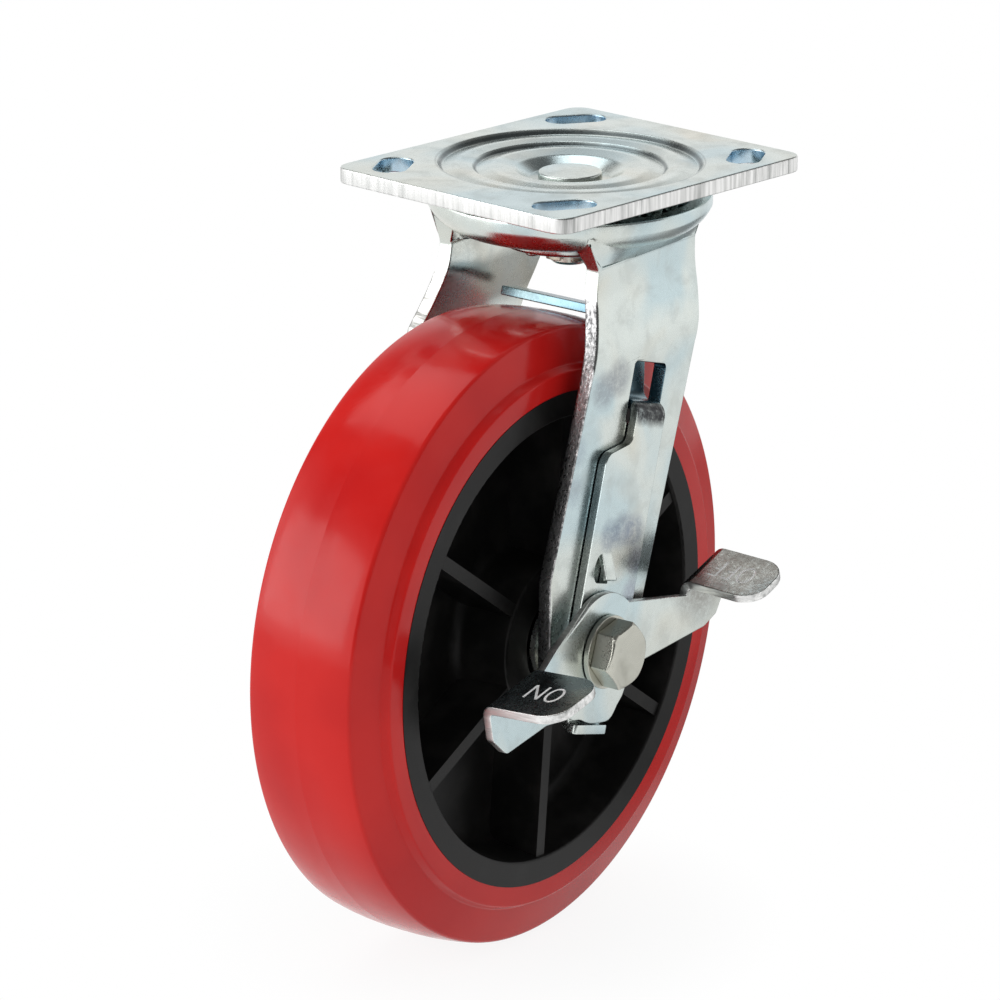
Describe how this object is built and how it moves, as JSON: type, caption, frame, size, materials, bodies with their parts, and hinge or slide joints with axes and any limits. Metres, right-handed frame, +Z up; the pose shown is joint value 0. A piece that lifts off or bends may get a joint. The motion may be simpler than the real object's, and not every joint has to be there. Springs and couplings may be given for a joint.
{
  "type": "swivel castor",
  "caption": "Swivel castor with a slotted square top plate, ball-raced pressed-steel fork, red-tyred wheel on a ribbed black core and a side pedal brake.",
  "frame": {"origin": "centre of the top plate's upper face, on the swivel axis", "axes": "+Z up along the swivel axis, X along the plate's long side, the wheel trailing towards -X and the brake on the -Y side"},
  "size_m": [0.1994, 0.1263, 0.241],
  "materials": {
    "zinc_plate": "bright zinc plate, pale with faint blue and yellow tints",
    "bolt_steel": "duller zinc plate, warm grey",
    "bearing_steel": "hardened and polished",
    "red_polyurethane": "glossy red polyurethane",
    "black_plastic": "moulded black, low sheen"
  },
  "bodies": {
    "plate": {"top_plate": "zinc_plate", "kingpin": "zinc_plate", "kingpin_nut": "zinc_plate", "split_pin": "zinc_plate", "lower_race_cup": "zinc_plate"},
    "fork": {"fork": "zinc_plate", "axle_bolt": "bolt_steel", "axle_nut": "bolt_steel", "bolt_washer": "zinc_plate", "nut_washer": "zinc_plate", "spanner_bushing": "bearing_steel", "hub_washers": "zinc_plate", "pedal_bush": "bearing_steel"},
    "upper_race_balls": {"upper_balls": "bearing_steel"},
    "lower_race_balls": {"lower_balls": "bearing_steel"},
    "wheel": {"wheel_core": "black_plastic", "tyre": "red_polyurethane", "bearing_sleeve": "bearing_steel"},
    "roller_set": {"bearing_rollers": "bearing_steel", "roller_cage": "black_plastic"},
    "pedal": {"brake_pedal": "zinc_plate"},
    "strap": {"brake_strap": "zinc_plate"}
  },
  "joints": [
    {"name": "swivel", "type": "hinge", "parent": "plate", "child": "fork", "pos_m": [0, 0, 0], "axis": [0, 0, 1], "continuous": true},
    {"name": "upper_balls_roll", "type": "hinge", "parent": "plate", "child": "upper_race_balls", "pos_m": [0, 0, 0], "axis": [0, 0, 1], "continuous": true},
    {"name": "lower_balls_roll", "type": "hinge", "parent": "plate", "child": "lower_race_balls", "pos_m": [0, 0, 0], "axis": [0, 0, 1], "continuous": true},
    {"name": "wheel_roll", "type": "hinge", "parent": "fork", "child": "wheel", "pos_m": [-0.04, -0.00491, -0.141], "axis": [-0.1219, 0.9925, 0], "continuous": true},
    {"name": "rollers_roll", "type": "hinge", "parent": "fork", "child": "roller_set", "pos_m": [-0.04, -0.00491, -0.141], "axis": [-0.1219, 0.9925, 0], "continuous": true},
    {"name": "pedal_turn", "type": "hinge", "parent": "fork", "child": "pedal", "pos_m": [-0.04, -0.00491, -0.141], "axis": [0.1219, -0.9925, 0], "range_deg": [0, 12]},
    {"name": "strap_slide", "type": "slide", "parent": "fork", "child": "strap", "axis": [-0.2819, -0.0346, -0.9588], "range_m": [0, 0.0009]}
  ],
  "couplings": [
    {"joint": "upper_balls_roll", "follows": "swivel", "ratio": 0.5},
    {"joint": "lower_balls_roll", "follows": "swivel", "ratio": 0.5},
    {"joint": "rollers_roll", "follows": "wheel_roll", "ratio": 0.589},
    {"joint": "strap_slide", "follows": "pedal_turn", "m_per_rad": 0.00429}
  ]
}
